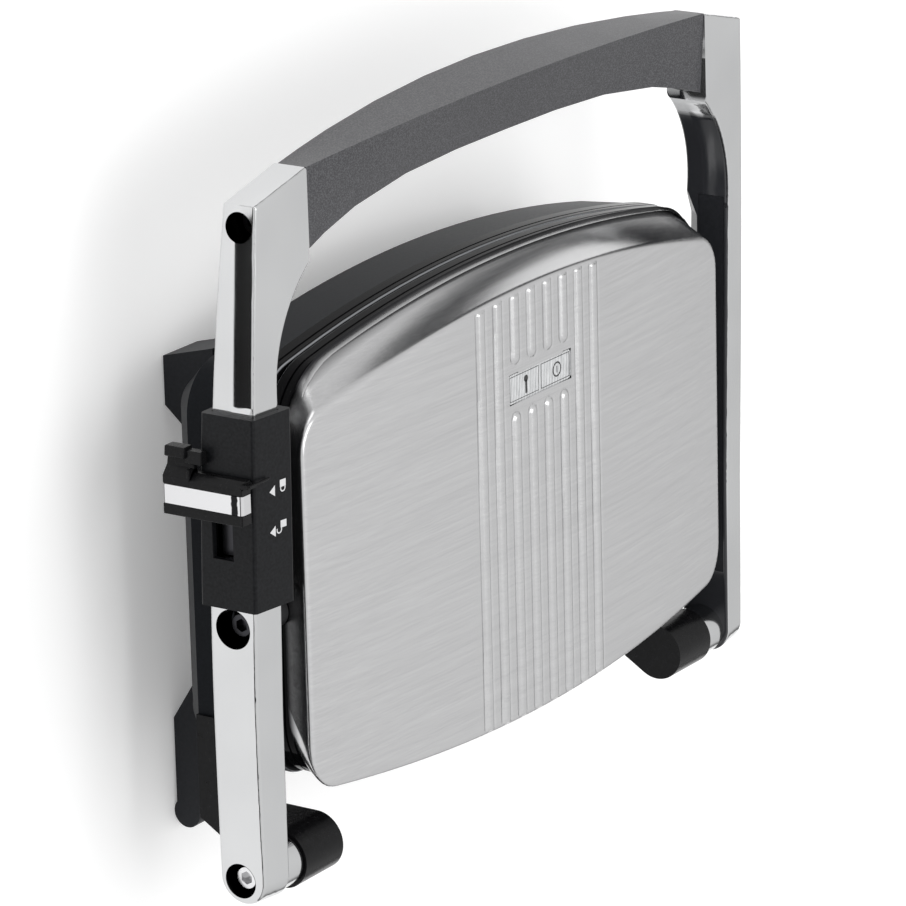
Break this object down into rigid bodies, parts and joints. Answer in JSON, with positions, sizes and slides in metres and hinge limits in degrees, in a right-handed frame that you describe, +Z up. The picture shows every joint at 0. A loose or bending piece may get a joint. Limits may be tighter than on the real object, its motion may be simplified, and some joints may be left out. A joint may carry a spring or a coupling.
{
  "type": "panini press",
  "caption": "Hinged contact grill with a brushed steel floating lid on a cast handle frame, curved grip, sliding side lock and ribbed cooking plates.",
  "frame": {"origin": "on the floor under the press, on its left-right centre plane and midway along its overall depth", "axes": "+X towards the side with the lock, +Y towards the rear hinge so the grip is at -Y, +Z up"},
  "size_m": [0.384, 0.3132, 0.1074],
  "materials": {
    "housing": "satin moulded, dark grey",
    "gloss_rim": "polished black",
    "plates": "non-stick coating over cast aluminium",
    "heater_sheath": "dull sheathed element",
    "sheet_steel": "plain pressed sheet",
    "feet": "fine grained",
    "rubber": "matt",
    "lugs": "semi-gloss black",
    "brass": "plain",
    "screws": "bright zinc",
    "nylon": "black nylon",
    "catch": "fine grained",
    "steel_cover": "stainless, brushed side to side",
    "thermostat": "plain",
    "lens": "clear moulded",
    "lamps": "neon lamp, unlit",
    "arms": "cast and polished",
    "liner": "satin dark grey",
    "grip": "fine speckled dark grey",
    "sleeve": "fine grained black",
    "slider": "satin black",
    "spring_steel": "spring steel",
    "trim": "polished"
  },
  "bodies": {
    "base": {"base_pan": "housing", "base_rim": "gloss_rim", "lower_plate": "plates", "lower_heater": "heater_sheath", "lower_shield": "sheet_steel", "front_feet": "feet", "rear_feet": "feet", "foot_pads": "rubber", "hinge_lug_right": "lugs", "hinge_lug_left": "lugs", "hinge_bushes": "brass", "hinge_screws": "screws", "hinge_washers": "nylon", "lug_screws": "screws", "base_screws": "screws", "cord_gland": "rubber", "terminal_block": "nylon", "lock_catch": "catch"},
    "handle": {"arm_right": "arms", "arm_left": "arms", "arm_liner_right": "liner", "arm_liner_left": "liner", "grip_upper": "grip", "grip_lower": "grip", "grip_plugs": "arms", "grip_screws": "screws", "lock_housing": "sleeve", "lock_detent": "spring_steel"},
    "lid": {"lid_cover": "steel_cover", "lid_frame": "gloss_rim", "upper_plate": "plates", "upper_heater": "heater_sheath", "thermostat": "thermostat", "indicator_lens": "lens", "lamp_holder": "nylon", "indicator_lamps": "lamps", "cover_posts": "sheet_steel", "cover_screws": "screws", "pivot_screws": "screws", "pivot_bushes": "nylon"},
    "slider": {"lock_slider": "slider", "slider_trim": "trim"}
  },
  "joints": [
    {"name": "handle_hinge", "type": "hinge", "parent": "base", "child": "handle", "pos_m": [0, 0.1445, 0.0789], "axis": [-1, 0, 0], "range_deg": [0, 100]},
    {"name": "lid_pivot", "type": "hinge", "parent": "handle", "child": "lid", "pos_m": [0, 0.037, 0.0805], "axis": [-1, 0, 0], "range_deg": [-12, 0]},
    {"name": "lock_slide", "type": "slide", "parent": "handle", "child": "slider", "axis": [0, 1, 0], "range_m": [0, 0.017]}
  ],
  "couplings": [
    {"joint": "lid_pivot", "follows": "handle_hinge", "ratio": -0.12}
  ]
}
